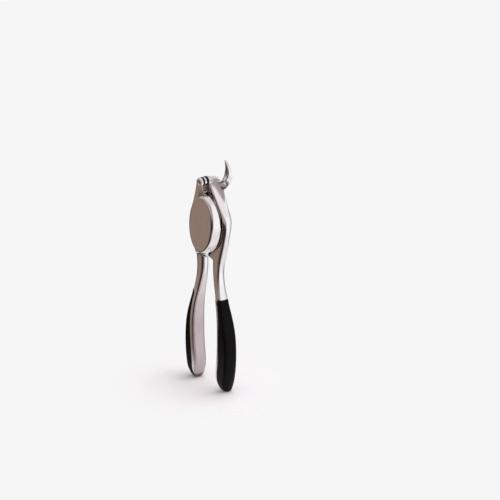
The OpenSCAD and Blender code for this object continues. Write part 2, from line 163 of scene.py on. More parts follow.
def outer_x(z):
    if z < BOW_Z:
        return BOW_OUTER - (BOW_OUTER - END_OUTER) * (1 - z / BOW_Z) ** 2
    if z < WAIST_Z:
        return between(BOW_OUTER, WAIST_OUTER, lean(z, BOW_Z, WAIST_Z, OUTER_BEND))
    if z < CORK_Z:
        return between(WAIST_OUTER, JAW_OUTER, lean(z, WAIST_Z, CORK_Z))
    jaw_side = JAW_OUTER - JAW_BOW * (z - CORK_Z) ** 2
    face_edge = FACE_EDGE_X + FACE_EDGE_SLOPE * (HINGE_Z - z)
    return max(HALF_GAP + 1, soft_min(jaw_side, face_edge, HEAD_BLEND))


def back_x(z, shoulder):
    if not shoulder or z <= HORN_Z:
        return outer_x(z)
    d = z - FLARE_START_Z
    return outer_x(z) + FLARE_SLOPE * (d + math.hypot(d, FLARE_BLEND)) / 2


def core_x(z):
    run_out = clamped((z - GRIP_TOP + GRIP_TAPER) / GRIP_TAPER)
    return between(inner_bow(z) + CORE_T, outer_x(z) - GRIP_EDGE, run_out)


def grip_lap(z, sign):
    """How far the right grip laps over the front of the metal, and the metal over the left grip."""
    if sign > 0:
        return min(RIGHT_LAP, RIGHT_LAP_SHARE * (core_x(z) - inner_x(z)))
    return -min(LEFT_LAP, LEFT_LAP_SHARE * (outer_x(z) - core_x(z)))


def half_breadth(z):
    return between(GRIP_BREADTH, HEAD_BREADTH, lean(z, BREADTH_LOW_Z, INNER_WAIST_Z)) / 2


def pinch(z):
    return max(0.0, 1 - z / END_PINCH_Z) ** 2


def front_y(z):
    """Front of a lever. At the end of the handle the front draws in more than the back."""
    return MID_Y - half_breadth(z) + FRONT_PINCH * pinch(z)


def back_y(z):
    return MID_Y + half_breadth(z) - BACK_PINCH * pinch(z)


def inner_back_y(z, shoulder):
    depth = HEAD_BACK_Y - REAR_EAR_BACK_Y + EAR_PROUD if shoulder else 0.0
    return MID_Y + half_breadth(z) - depth * lean(z, DROP_LOW_Z, DROP_TOP_Z)


def outer_back_y(z, shoulder):
    y = MID_Y + half_breadth(z)
    if shoulder:
        y += (GRIP_BREADTH - HEAD_BREADTH) / 2 * lean(z, CORK_Z - SHOULDER_DROP, CORK_Z + SHOULDER_RISE)
    return y


def saddle_lean(z):
    return clamped((z - ROUND_START_Z) / (SADDLE_Z - ROUND_START_Z)) ** 2


def front_edge(z):
    """Rounding of the outer front edge: broad at the jaw, narrower again towards the hinge."""
    broad = lean(z, FRONT_EDGE_LOW_Z, FRONT_EDGE_TOP_Z)
    broad -= NECK_EDGE_LOSS * lean(z, NECK_EDGE_LOW_Z, NECK_EDGE_TOP_Z)
    return min(LEVER_EDGE + FRONT_EDGE_GAIN * broad, FRONT_EDGE_SHARE * (outer_x(z) - HALF_GAP))


def back_edge(z, shoulder):
    gain = BACK_EDGE_GAIN * lean(z, BACK_EDGE_LOW_Z, CORK_Z + SHOULDER_RISE) if shoulder else 0.0
    return LEVER_EDGE + gain


def crown_at(z, shoulder):
    """Crown of the outer side. The shoulder's side is hollow instead."""
    hollow = lean(z, CORK_Z, DROP_TOP_Z) * (1 - lean(z, ROUND_START_Z - 1, SADDLE_Z))
    return SIDE_CROWN - (SHOULDER_HOLLOW * hollow if shoulder else 0.0)


def unit(v):
    return v / np.linalg.norm(v)


def corner(a, p, b, r, count=7):
    q, s = p + r * unit(a - p), p + r * unit(b - p)
    t = np.linspace(0, 1, count)[:, None]
    return (1 - t) ** 2 * q + 2 * t * (1 - t) * p + t * t * s


def section(width, depth, r_in, r_front, r_back, crown, front_crown=0.0, lap=0.0):
    """Level section: four rounded corners, the outer side crowned from edge to edge.
    Widths are at the inside, the front and the back; depths at the front, inner back and outer back."""
    inner_front, outer_front = np.array([width[0] - lap, depth[0]]), np.array([width[1], depth[0]])
    outer_back, inner_back = np.array([width[2], depth[2]]), np.array([width[0], depth[1]])
    side = outer_back - outer_front
    length = np.linalg.norm(side)
    out = np.array([side[1], -side[0]]) / length
    flat = outer_front + np.linspace(r_front / length, 1 - r_back / length, 11)[1:-1, None] * side
    outer = np.vstack([corner(inner_front, outer_front, outer_back, r_front), flat,
                       corner(outer_front, outer_back, inner_back, r_back)])
    t = np.clip((outer - outer_front) @ side / (side @ side), 0, 1)
    outer = outer + (crown * 4 * t * (1 - t))[:, None] * out
    front = inner_front + np.linspace(0, 1, 11)[1:-1, None] * (outer_front - inner_front)
    flat_front = (front[:, 0] > inner_front[0] + r_in) & (front[:, 0] < outer_front[0] - r_front)
    ring = np.vstack([corner(inner_back, inner_front, outer_front, r_in), front[flat_front], outer,
                      corner(outer_back, inner_back, inner_front, r_in)])
    # The front side is faintly crowned, by falling back towards its two edges
    t = np.clip((ring[:, 0] - inner_front[0]) / (outer_front[0] - inner_front[0]), 0, 1)
    near = np.clip(1 - (ring[:, 1] - depth[0]) / FRONT_CROWN_DEPTH, 0, 1)
    ring[:, 1] += front_crown * (1 - 4 * t * (1 - t)) * near
    return ring


def resampled(points, count):
    """The closed outline with evenly spaced points, so that rings of one loft match."""
    loop = np.vstack([points, points[:1]])
    length = np.concatenate([[0], np.cumsum(np.linalg.norm(np.diff(loop, axis=0), axis=1))])
    at = np.linspace(0, length[-1], count, endpoint=False)
    return np.stack([np.interp(at, length, loop[:, k]) for k in range(2)], axis=1)


def new_object(name, points, faces):
    mesh = bpy.data.meshes.new(name)
    mesh.from_pydata([tuple(p) for p in points], [], faces)
    bm = bmesh.new()
    bm.from_mesh(mesh)
    bmesh.ops.recalc_face_normals(bm, faces=bm.faces)
    bm.to_mesh(mesh)
    bm.free()
    obj = bpy.data.objects.new(name, mesh)
    bpy.context.scene.collection.objects.link(obj)
    return obj


def loft(name, rings):
    """Closed skin through rings of points that match one to one."""
    n = len(rings[0])
    faces = [[i * n + j, i * n + (j + 1) % n, (i + 1) * n + (j + 1) % n, (i + 1) * n + j]
             for i in range(len(rings) - 1) for j in range(n)]
    faces += [list(range(n)), list(range((len(rings) - 1) * n, len(rings) * n))]
    return new_object(name, np.vstack(rings), faces)


def ring_at(points, z, sign=1):
    return np.column_stack([sign * points[:, 0], points[:, 1], np.full(len(points), z)])


def upright(outline, y):
    """The outline in X and Z as a ring at one depth."""
    return np.column_stack([outline[:, 0], np.full(len(outline), y), outline[:, 1]])


def prism(name, outline, y0, y1):
    """Outline in X and Z drawn out along the hinge axis."""
    return loft(name, [upright(outline, y) for y in (y0, y1)])


def soft_prism(name, outline_at, y0, y1, r, widen=0.0):
    """Outline drawn out along the hinge axis, with its front edge rounded by r. The outline takes an inset.
    The sides may spread towards the back."""
    places = [(r * (1 - math.sin(a)), y0 + r * (1 - math.cos(a))) for a in np.linspace(0, math.pi / 2, 7)]
    return loft(name, [upright(outline_at(inset - widen * (y - y0) / (y1 - y0)), y)
                       for inset, y in places + [(0.0, y1)]])


def inset_outline(outline, inset):
    """The outline moved inwards; its points run anticlockwise in X and Z."""
    along = np.roll(outline, -1, axis=0) - np.roll(outline, 1, axis=0)
    along /= np.linalg.norm(along, axis=1)[:, None]
    return outline + inset * np.column_stack([-along[:, 1], along[:, 0]])


def ball(name, centre, r, count):
    """Ball drawn as rings across the hinge axis, with its two poles cut flat."""
    rings = []
    for i in range(1, count // 2):
        t = math.pi * i / (count // 2)
        ways = [(math.sin(t) * math.cos(a), math.cos(t), math.sin(t) * math.sin(a))
                for a in (2 * math.pi * j / count for j in range(count))]
        rings.append(np.array(centre) + r * np.array(ways))
    return loft(name, rings)


def oval(x, z, half_width, half_height, tilt=0.0, count=160):
    a = np.linspace(0, 2 * math.pi, count, endpoint=False)
    u, v = half_width * np.cos(a), half_height * np.sin(a)
    c, s = math.cos(math.radians(tilt)), math.sin(math.radians(tilt))
    return np.column_stack([x + c * u + s * v, z - s * u + c * v])


def cap_oval(inset):
    return oval(CAP_X, CORK_Z, CAP_HALF_WIDTH - inset, CAP_HALF_HEIGHT - inset, CAP_TILT, 240)


def curve(a, b, c, count):
    t = np.linspace(0, 1, count + 1)[:, None]
    return (1 - t) ** 2 * np.array(a) + 2 * t * (1 - t) * np.array(b) + t * t * np.array(c)


def shell(name, clouds):
    """Convex skin round clouds of points."""
    bm = bmesh.new()
    for p in np.vstack(clouds):
        bm.verts.new(p)
    result = bmesh.ops.convex_hull(bm, input=bm.verts)
    bmesh.ops.delete(bm, geom=result["geom_interior"], context="VERTS")
    mesh = bpy.data.meshes.new(name)
    bm.to_mesh(mesh)
    bm.free()
    obj = bpy.data.objects.new(name, mesh)
    bpy.context.scene.collection.objects.link(obj)
    return obj


def bake(obj):
    """Takes the modifiers into the mesh."""
    graph = bpy.context.evaluated_depsgraph_get()
    mesh = bpy.data.meshes.new_from_object(obj.evaluated_get(graph))
    obj.modifiers.clear()
    old = obj.data
    obj.data = mesh
    bpy.data.meshes.remove(old)
    return obj


def drop(obj):
    mesh = obj.data
    bpy.data.objects.remove(obj)
    bpy.data.meshes.remove(mesh)


def boolean(obj, tool, operation):
    m = obj.modifiers.new("boolean", "BOOLEAN")
    m.operation, m.solver, m.object = operation, "EXACT", tool
    return bake(obj)


def cut(obj, *tools):
    for tool in tools:
        boolean(obj, tool, "DIFFERENCE")
    return obj


def joined(name, parts):
    bm = bmesh.new()
    for part in parts:
        bm.from_mesh(part.data)
    mesh = bpy.data.meshes.new(name)
    bm.to_mesh(mesh)
    bm.free()
    for part in parts:
        drop(part)
    obj = bpy.data.objects.new(name, mesh)
    bpy.context.scene.collection.objects.link(obj)
    return obj


def cast(obj):
    """One skin over all the forms, with the small fillets of a casting."""
    m = obj.modifiers.new("skin", "REMESH")
    m.mode, m.voxel_size, m.adaptivity = "VOXEL", VOXEL, 0.0
    bake(obj)
    m = obj.modifiers.new("fillets", "SMOOTH")
    m.factor, m.iterations = 0.5, SMOOTHING
    return bake(obj)


def bar(name, y0, y1, r, count=96):
    return prism(name, oval(0, HINGE_Z, r, r, 0, count), y0, y1)


def lathe(name, profile, count=128):
    """Ring or pin turned about the hinge axis from (radius, y) points."""
    a = np.linspace(0, 2 * math.pi, count, endpoint=False)
    n = len(profile)
    points = [(r * math.cos(t), y, HINGE_Z + r * math.sin(t)) for t in a for r, y in profile]
    faces = [[i * n + j, i * n + (j + 1) % n, (i + 1) % count * n + (j + 1) % n, (i + 1) % count * n + j]
             for i in range(count) for j in range(n)]
    return new_object(name, points, faces)


def finished(obj, body, slot, *nodes):
    """Takes a piece from mm to metres and ties it to its body."""
    obj.data.transform(Matrix.Scale(MM, 4))
    obj.data.polygons.foreach_set("use_smooth", [True] * len(obj.data.polygons))
    obj.data.update()
    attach(obj, body)
    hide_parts(*nodes)
    return obj


def lever_body(name, top, shoulder, sign):
    """Skin of a lever: narrow beside the grip, full above it. The saddle's top leans back."""
    heights = np.concatenate([np.arange(CORE_END, GRIP_TOP, RING_STEP), [GRIP_TOP, GRIP_TOP + STEP_RAMP],
                              np.arange(GRIP_TOP + 0.9, HORN_Z, RING_STEP), [HORN_Z],
                              np.linspace(HORN_Z + HORN_RAMP, top, HEAD_RINGS)])
    rings = []
    for z in heights:
        if z <= GRIP_TOP:
            front_x = core_x(z) - grip_lap(z, sign)
            inner_edge = min(INNER_EDGE, INNER_EDGE_SHARE * (front_x - inner_x(z)))
            s = section((inner_x(z), front_x, core_x(z)), (front_y(z), back_y(z), back_y(z)),
                        inner_edge, SEAM_FRONT_EDGE, SEAM_BACK_EDGE, 0, SEAM_FRONT_CROWN)
        else:
            up = saddle_lean(z) if shoulder else 0.0
            width = (inner_x(z), outer_x(z), between(back_x(z, shoulder), SADDLE_BACK_X, up))
            depth = (front_y(z) + SADDLE_FRONT_LEAN * up,
                     between(inner_back_y(z, shoulder), SADDLE_INNER_BACK_Y, up),
                     outer_back_y(z, shoulder) - SADDLE_BACK_LEAN * up)
            inner_edge = INNER_EDGE if z < HORN_Z else HEAD_INNER_EDGE
            s = section(width, depth, inner_edge, front_edge(z), back_edge(z, shoulder),
                        crown_at(z, shoulder), FRONT_CROWN)
        rings.append(ring_at(resampled(s, LEVER_POINTS), z, sign))
    return loft(name, rings)


def jaw_cutter(side):
    """Round opening for the cork with its relief and the grooves between the teeth, as one outline."""
    a = np.linspace(-math.pi, math.pi, 1440, endpoint=False)
    r = np.maximum(JAW_R, 1 / np.hypot(np.cos(a) / RELIEF_HALF_WIDTH, np.sin(a) / RELIEF_HALF_HEIGHT))
    for k in range(-GROOVES_EACH_WAY, GROOVES_EACH_WAY + 1):
        turn = a - (0 if side > 0 else math.pi) - math.radians(k * TOOTH_PITCH)
        room = TOOTH_GROOVE_R ** 2 - (JAW_R * np.sin(turn)) ** 2
        groove = JAW_R * np.cos(turn) + np.sqrt(np.maximum(room, 0))
        r = np.where((room > 0) & (np.cos(turn) > 0), np.maximum(r, groove), r)
    outline = np.column_stack([r * np.cos(a), CORK_Z + r * np.sin(a)])
    return prism("jaw", outline, RIM_Y, HANDLE_BACK_Y + PAST_BACK)


def make_neck():
    """Neck from the front ear to the cap. Its right side runs in towards the back."""
    w = FRONT_EAR_R
    rings = []
    for y, inset, run_in in NECK_RINGS:
        left = curve((0.5 - w, HINGE_Z), (-1.15 * w, HINGE_Z - 8), (CAP_X - 11, HINGE_Z - 22), 24)
        right = curve((CAP_X + 10 - run_in, HINGE_Z - 17), (1.5 * w - run_in, HINGE_Z - 9.5),
                      (w - 0.1 - run_in / 2, HINGE_Z), 24)
        rings.append(upright(inset_outline(np.vstack([left, right]), inset), y))
    return loft("neck", rings)


def make_neck_fall():
    """Cutter that lets the neck's front fall back to the right, so that the cap's edge stands out from it."""
    rings = []
    x = np.linspace(-3, 13, 17)
    front = np.column_stack([x[::-1], np.full(len(x), FRONT_Y - PAST)])
    for z in np.linspace(HINGE_Z - 30, HINGE_Z - 2, 15):
        run_out = 1 - lean(z, HINGE_Z - 10, HINGE_Z - 3)
        y = FRONT_Y + NECK_FALL * run_out * np.clip((x - NECK_FALL_X) / NECK_FALL_RUN, 0, NECK_FALL_REACH)
        rings.append(ring_at(np.vstack([np.column_stack([x, y]), front]), z))
    return loft("fall", rings)


def make_lip():
    """Lip that carries the cap's lower rim down to the jaw."""
    rim = upright(cap_oval(LIP_INSET), FRONT_Y + CAP_FACE)
    foot = [(-x, y, z) for x in (outer_x(LIP_SIDE_Z) - LIP_SIDE_INSET, HALF_GAP)
            for y in (HEAD_FRONT_Y, HEAD_FRONT_Y + 1) for z in (HORN_Z - LIP_DROP, HORN_Z + LIP_RISE)]
    return shell("lip", [rim, foot])


def make_cap_lever():
    """Left casting: lever with cap, lip, neck and front ear."""
    jaw = jaw_cutter(-1)
    rim_top_y = RIM_Y - RIM_FALL * (SADDLE_Z - CORK_Z) / CAP_HALF_HEIGHT
    behind_rim = [(RIM_Y, 0), (FAR, 0), (FAR, SADDLE_Z), (rim_top_y, SADDLE_Z), (RIM_Y, CORK_Z)]
    other_side = loft("other", [np.array([(x, y, z) for y, z in behind_rim]) for x in (-HALF_GAP, FAR)])
    cavity = prism("cavity", cap_oval(CAP_WALL), FRONT_Y + CAP_FACE, HEAD_FRONT_Y + 2)
    body = cut(lever_body("cap_body", CAP_LEVER_TOP, False, -1), jaw)
    bowl = soft_prism("bowl", cap_oval, FRONT_Y, HEAD_FRONT_Y + 0.6, CAP_EDGE, CAP_SPREAD)
    lip = make_lip()
    for part in (bowl, lip):
        cut(part, other_side, cavity, jaw)
    fall = make_neck_fall()
    neck = cut(make_neck(), cavity, fall)
    ear = soft_prism("ear", lambda inset: oval(0, HINGE_Z, FRONT_EAR_R - inset, FRONT_EAR_R - inset),
                     FRONT_Y, FRONT_EAR_BACK_Y, EAR_EDGE)
    lever = cast(joined("cap_lever_casting", [body, bowl, lip, neck, ear]))
    bore = bar("bore", FRONT_Y - PAST, FRONT_EAR_BACK_Y + PAST, PIN_R + HELD_GAP)
    dish = ball("dish", (0, FRONT_Y + EAR_DISH - EAR_DISH_R, HINGE_Z), EAR_DISH_R, 160)
    cut(lever, dish, bore)
    for tool in (jaw, other_side, cavity, fall, bore, dish):
        drop(tool)
    return finished(lever, "cap_side", "plated_casting", "cap_lever")


def claw_outline(k):
    """Side view of the claw. Towards the front (k = 1) its lower side draws in to a leaf."""
    reach, z = HOOK_REACH, HINGE_Z

    def at(back, up, front_back, front_up):
        return reach - between(back, front_back, k), z + between(up, front_up, k)

    tip, throat, root = (reach - 6.97, z + HOOK_RISE), (reach - 11.4, z + 1.7), (reach - 16.6, z)
    belly, cheek = at(3, 1.2, 5.6, 3.4), at(0.3, 11.4, 1.0, 11.6)
    return np.vstack([
        curve(tip, (reach - 8.2, z + 7.8), throat, 30),
        curve(throat, (root[0] + 4, z), root, 12)[1:],
        [at(15.1, -3, 15.1, -0.6), at(13.1, -9, 13.1, -0.9)],
        curve(at(11.4, -6.8, 11.4, 0.2), at(7.1, -4.4, 8.2, 1.1), belly, 20),
        curve(belly, at(-0.4, 5.2, 1.8, 6.4), cheek, 24)[1:],
        curve(cheek, (reach - 1, z + 16.8), tip, 24)[1:-1]])


def make_hook():
    """Claw with a hollow front and a bevelled belly, thinned towards its tip, mostly from the back."""
    reach, z = HOOK_REACH, HINGE_Z
    claw = loft("claw", [upright(claw_outline(k), HOOK_FRONT_Y + y) for k, y in CLAW_RINGS])
    thin = HOOK_T - HOOK_TIP_T
    foot, full, top = z - CLAW_FOOT, z + CLAW_FULL, z + HOOK_RISE + 0.01
    side = [(HOOK_FRONT_Y, foot), (HOOK_BACK_Y, foot), (HOOK_BACK_Y, full),
            (HOOK_BACK_Y - CLAW_THIN_BACK * thin, top), (HOOK_FRONT_Y + CLAW_THIN_FRONT * thin, top),
            (HOOK_FRONT_Y, full)]
    wedge = loft("wedge", [np.array([(x, y, h) for y, h in side]) for x in (0.0, reach + PAST)])
    boolean(claw, wedge, "INTERSECT")
    hollow = ball("hollow", (reach - HOLLOW_BACK, HOOK_FRONT_Y + HOLLOW_DEPTH - HOLLOW_R, z + HOLLOW_UP),
                  HOLLOW_R, 240)
    cut(claw, hollow)
    for tool in (wedge, hollow):
        drop(tool)
    return claw


def make_hook_lever():
    """Right casting: lever with saddle, claw and rear ear."""
    jaw = jaw_cutter(1)
    lead = prism("lead", oval(0, CORK_Z, JAW_R + JAW_LEAD, JAW_R + JAW_LEAD), HEAD_BACK_Y + 0.01,
                 HANDLE_BACK_Y + PAST_BACK)
    body = cut(lever_body("hook_body", SADDLE_Z - 0.5, True, 1), jaw, lead)
    ear = lathe("ear", [(0.01, REAR_EAR_FRONT_Y), (REAR_EAR_R, REAR_EAR_FRONT_Y),
                        (REAR_EAR_R, REAR_EAR_BACK_Y - REAR_EAR_EDGE),
                        (REAR_EAR_R - REAR_EAR_EDGE, REAR_EAR_BACK_Y), (0.01, REAR_EAR_BACK_Y)])
    lever = cast(joined("hook_lever_casting", [body, make_hook(), ear]))
    bore = bar("bore", REAR_EAR_FRONT_Y - PAST, REAR_EAR_BACK_Y + PAST, PIN_R + RUNNING_GAP)
    seat = bar("seat", REAR_EAR_BACK_Y - PIN_HEAD_LENGTH - END_PLAY, HANDLE_BACK_Y + PAST,
               PIN_HEAD_R + RUNNING_GAP)
    cut(lever, bore, seat)
    for tool in (jaw, lead, bore, seat):
        drop(tool)
    return finished(lever, "hook_side", "plated_casting", "hook_lever")


def make_grip(name, body, node, sign):
    """Moulded grip with soft ends. Its inner side follows the metal, with a slanted seam at the front."""
    low, top = GRIP_END_ROUND, GRIP_TOP - GRIP_GAP
    high = top - GRIP_TOP_ROUND
    turn = np.linspace(0, math.pi / 2, 9)
    heights = np.concatenate([low * (1 - np.cos(turn)), np.arange(low + 0.5, high - 0.3, RING_STEP),
                              top - GRIP_TOP_ROUND * (1 - np.sin(turn))])
    rings = []
    for z in heights:
        inset = 0.0
        if z < low:
            inset = low - math.sqrt(low ** 2 - (low - z) ** 2)
        elif z > high:
            rise = z - top + GRIP_TOP_ROUND
            inset = GRIP_TOP_ROUND - math.sqrt(max(0.0, GRIP_TOP_ROUND ** 2 - rise ** 2))
        depth = outer_x(z) - core_x(z) - GRIP_GAP
        inset = min(inset, depth * 0.4)
        front, back = front_y(z) + inset, back_y(z) - inset
        depth -= 2 * inset
        x_in, x_out = core_x(z) + GRIP_GAP + inset, outer_x(z) - inset
        edge = min(GRIP_ROUND, depth / 2)
        s = section((x_in, x_out, x_out), (front, back, back), min(GRIP_SEAM_EDGE, depth / 4),
                    edge, edge, min(GRIP_CROWN, depth / 3), lap=grip_lap(max(z, CORE_END), sign))
        rings.append(ring_at(resampled(s, GRIP_POINTS), z, sign))
    return finished(loft(name, rings), body, "grip", node)


def edged(points, r):
    """A closed outline of (radius, y) points with each corner broken by r."""
    pts = [np.array(p, float) for p in points]
    out = []
    for k, p in enumerate(pts):
        out += [tuple(q) for q in corner(pts[k - 1], p, pts[(k + 1) % len(pts)], r, 4)]
    return out


def make_hinge_parts():
    """Washers, spacer and pin, with broken edges."""
    bore = PIN_R + RUNNING_GAP
    washer_back = FRONT_EAR_BACK_Y + WASHER_T
    rear_front = REAR_EAR_FRONT_Y - END_PLAY - WASHER_T
    made = []
    for name, y0, y1, r, edge, slot in (
            ("front_washer_ring", FRONT_EAR_BACK_Y, washer_back, WASHER_R, WASHER_EDGE, "washer"),
            ("hinge_spacer_ring", washer_back, rear_front, SPACER_R, SPACER_EDGE, "spacer_steel"),
            ("rear_washer_ring", rear_front, rear_front + WASHER_T, WASHER_R, WASHER_EDGE, "washer")):
        ring = lathe(name, edged([(bore, y0), (r, y0), (r, y1), (bore, y1)], edge))
        made.append(finished(ring, "cap_side", slot, name[:-5]))
    tip, back = FRONT_Y + EAR_DISH, REAR_EAR_BACK_Y
    head = back - PIN_HEAD_LENGTH
    pin = lathe("hinge_pin_turned", [
        (NEAR_AXIS, tip), (PIN_R - 0.3, tip), (PIN_R - 0.08, tip + 0.08), (PIN_R, tip + 0.3), (PIN_R, head),
        (PIN_HEAD_R, head), (PIN_HEAD_R, back - 0.4), (PIN_HEAD_R - 0.12, back - 0.12),
        (PIN_HEAD_R - 0.5, back), (NEAR_AXIS, back)])
    made.append(finished(pin, "cap_side", "pin_steel", "hinge_pin"))
    return made


def material(name):
    m = bpy.data.materials.new(name)
    m.use_nodes = True
    nodes = m.node_tree.nodes
    return m, nodes, m.node_tree.links, nodes["Principled BSDF"]


def noise(nodes, links, scale, detail, rough=0.5):
    coords = nodes.new("ShaderNodeTexCoord")
    n = nodes.new("ShaderNodeTexNoise")
    n.inputs["Scale"].default_value = scale
    n.inputs["Detail"].default_value = detail
    n.inputs["Roughness"].default_value = rough
    links.new(coords.outputs["Object"], n.inputs["Vector"])
    return n.outputs["Fac"]


def ramp(nodes, links, source, stops):
    """Colours along the source's value, from (place, colour) stops."""
    r = nodes.new("ShaderNodeValToRGB")
    elements = r.color_ramp.elements
    while len(elements) < len(stops):
        elements.new(0.5)
    for element, (place, colour) in zip(elements, stops):
        element.position = place
        element.color = (*colour, 1)
    links.new(source, r.inputs["Fac"])
    return r.outputs["Color"]


def spread(nodes, links, source, low, high, to_low, to_high, steps="LINEAR"):
    """The source's range from low to high, spread over another range."""
    r = nodes.new("ShaderNodeMapRange")
    r.interpolation_type = steps
    for key, value in (("From Min", low), ("From Max", high), ("To Min", to_low), ("To Max", to_high)):
        r.inputs[key].default_value = value
    links.new(source, r.inputs["Value"])
    return r.outputs["Result"]


def product(nodes, links, a, b):
    n = nodes.new("ShaderNodeMath")
    n.operation = "MULTIPLY"
    links.new(a, n.inputs[0])
    links.new(b, n.inputs[1])
    return n.outputs["Value"]


def split(nodes, links, vector):
    n = nodes.new("ShaderNodeSeparateXYZ")
    links.new(vector, n.inputs["Vector"])
    return n.outputs


def bump(nodes, links, source, bsdf, strength, distance):
    b = nodes.new("ShaderNodeBump")
    b.inputs["Strength"].default_value = strength
    b.inputs["Distance"].default_value = distance
    links.new(source, b.inputs["Height"])
    links.new(b.outputs["Normal"], bsdf.inputs["Normal"])


def metal(name, dark, light, rough_low, rough_high, grain, waviness):
    """Plated or turned metal: slight clouding of tone and polish, and a faint waviness."""
    m, nodes, links, bsdf = material(name)
    bsdf.inputs["Metallic"].default_value = 1.0
    cloud = noise(nodes, links, grain, 3)
    links.new(ramp(nodes, links, cloud, [(0.35, dark), (0.65, light)]), bsdf.inputs["Base Color"])
    wear = noise(nodes, links, grain * 6, 5, 0.6)
    links.new(spread(nodes, links, wear, 0.3, 0.7, rough_low, rough_high), bsdf.inputs["Roughness"])
    bump(nodes, links, noise(nodes, links, grain * 2.5, 2), bsdf, waviness, METAL_RELIEF)
    return m


def toned(nodes, links, socket, tone):
    """Multiplies what feeds the socket by a tone."""
    mix = nodes.new("ShaderNodeMix")
    mix.data_type, mix.blend_type = "RGBA", "MULTIPLY"
    mix.inputs["Factor"].default_value = 1
    links.new(socket.links[0].from_socket, mix.inputs["A"])
    links.new(tone, mix.inputs["B"])
    links.new(mix.outputs["Result"], socket)


def satin_and_painted_shade(m):
    """Satin inner sides of the handles with a darker painted shade on them, and painted shade darkening the
    recesses and the gaps between parts.
    """
    nodes, links = m.node_tree.nodes, m.node_tree.links
    bsdf = nodes["Principled BSDF"]
    coords = nodes.new("ShaderNodeTexCoord")
    place = split(nodes, links, coords.outputs["Object"])
    facing = split(nodes, links, coords.outputs["Normal"])
    inward = product(nodes, links, place["X"], facing["X"])
    satin_and_shade = product(nodes, links, spread(nodes, links, inward, *SATIN_SHADE_INWARD, 1, 0),
                    spread(nodes, links, place["Z"], *SATIN_SHADE_HEIGHT, 1, 0))
    # Painted shade: the plated colour of the inner sides is toned darker and lilac
    inner_shade = ramp(nodes, links, satin_and_shade, [(0, (1, 1, 1)), (1, INNER_SHADE_TONE)])
    toned(nodes, links, bsdf.inputs["Base Color"], inner_shade)
    rough = nodes.new("ShaderNodeMix")
    links.new(satin_and_shade, rough.inputs["Factor"])
    links.new(bsdf.inputs["Roughness"].links[0].from_socket, rough.inputs["A"])
    rough.inputs["B"].default_value = SATIN_ROUGHNESS
    links.new(rough.outputs["Result"], bsdf.inputs["Roughness"])
    # Painted shade: the plated colour turns dark brown where nearby surfaces hide the studio, in recesses,
    # crevices and between parts
    painted_shade = nodes.new("ShaderNodeAmbientOcclusion")
    painted_shade.samples = 8
    painted_shade.inputs["Distance"].default_value = PAINTED_SHADE_REACH
    toned(nodes, links, bsdf.inputs["Base Color"], ramp(nodes, links, painted_shade.outputs["AO"], PAINTED_SHADE_TONES))


def moulded(name, dark, light, rough_low, rough_high, grain, relief):
    """Moulded black: fine skin texture and a slight change of tone."""
    m, nodes, links, bsdf = material(name)
    cloud = noise(nodes, links, grain / 40, 4)
    links.new(ramp(nodes, links, cloud, [(0.35, dark), (0.65, light)]), bsdf.inputs["Base Color"])
    skin = noise(nodes, links, grain, 2)
    links.new(spread(nodes, links, skin, 0.3, 0.7, rough_low, rough_high), bsdf.inputs["Roughness"])
    bsdf.inputs["Specular IOR Level"].default_value = BLACK_SPECULAR
    bump(nodes, links, skin, bsdf, relief, BLACK_RELIEF)
    return m


def dress(obj, mat):
    obj.data.materials.clear()
    obj.data.materials.append(mat)


# Pieces
cap_lever = make_cap_lever()
hook_lever = make_hook_lever()
left_grip = make_grip("left_grip_moulding", "cap_side", "left_grip", -1)
right_grip = make_grip("right_grip_moulding", "hook_side", "right_grip", 1)
front_washer, spacer, rear_washer, pin = make_hinge_parts()

# Materials
plate = metal("plated_casting", dark=(0.80, 0.78, 0.77), light=(0.87, 0.85, 0.84),
              rough_low=0.10, rough_high=0.16, grain=60, waviness=0.02)
grip_black = moulded("grip_black", dark=(0.0012, 0.0008, 0.0009), light=(0.0034, 0.0022, 0.0026),
                     rough_low=0.38, rough_high=0.5, grain=1800, relief=0.12)
washer_black = moulded("washer_black", dark=(0.012, 0.011, 0.011), light=(0.022, 0.020, 0.020),
                       rough_low=0.45, rough_high=0.6, grain=2500, relief=0.1)
bright_steel = metal("spacer_steel", dark=(0.82, 0.82, 0.83), light=(0.88, 0.88, 0.89),
                     rough_low=0.06, rough_high=0.14, grain=150, waviness=0.02)
turned_steel = metal("pin_steel", dark=(0.5, 0.46, 0.43), light=(0.58, 0.54, 0.5),
                     rough_low=0.2, rough_high=0.32, grain=400, waviness=0.05)
satin_and_painted_shade(plate)
for piece, finish in ((cap_lever, plate), (hook_lever, plate), (left_grip, grip_black),
                      (right_grip, grip_black), (front_washer, washer_black), (rear_washer, washer_black),
                      (spacer, bright_steel), (pin, turned_steel)):
    dress(piece, finish)


def make_floor():
    """Pale disc under the tool that fades out at its edge."""
    a = np.linspace(0, 2 * math.pi, FLOOR_SIDES, endpoint=False)
    obj = new_object("floor", [(FLOOR_R * math.cos(t), FLOOR_R * math.sin(t), 0) for t in a],
                     [list(range(FLOOR_SIDES))])
    obj.location.z = -FLOOR_DROP
    m, nodes, links, bsdf = material("floor_pale")
    cloud = noise(nodes, links, 6, 2)
    links.new(ramp(nodes, links, cloud, [(0.3, (0.86, 0.86, 0.87)), (0.7, (0.88, 0.88, 0.88))]),
              bsdf.inputs["Base Color"])
    bsdf.inputs["Roughness"].default_value = 0.6
    coords = nodes.new("ShaderNodeTexCoord")
    length = nodes.new("ShaderNodeVectorMath")
    length.operation = "LENGTH"
    links.new(coords.outputs["Object"], length.inputs[0])
    links.new(spread(nodes, links, length.outputs["Value"], FLOOR_FADE, FLOOR_R, 1, 0, "SMOOTHSTEP"),
              bsdf.inputs["Alpha"])
    obj.data.materials.append(m)


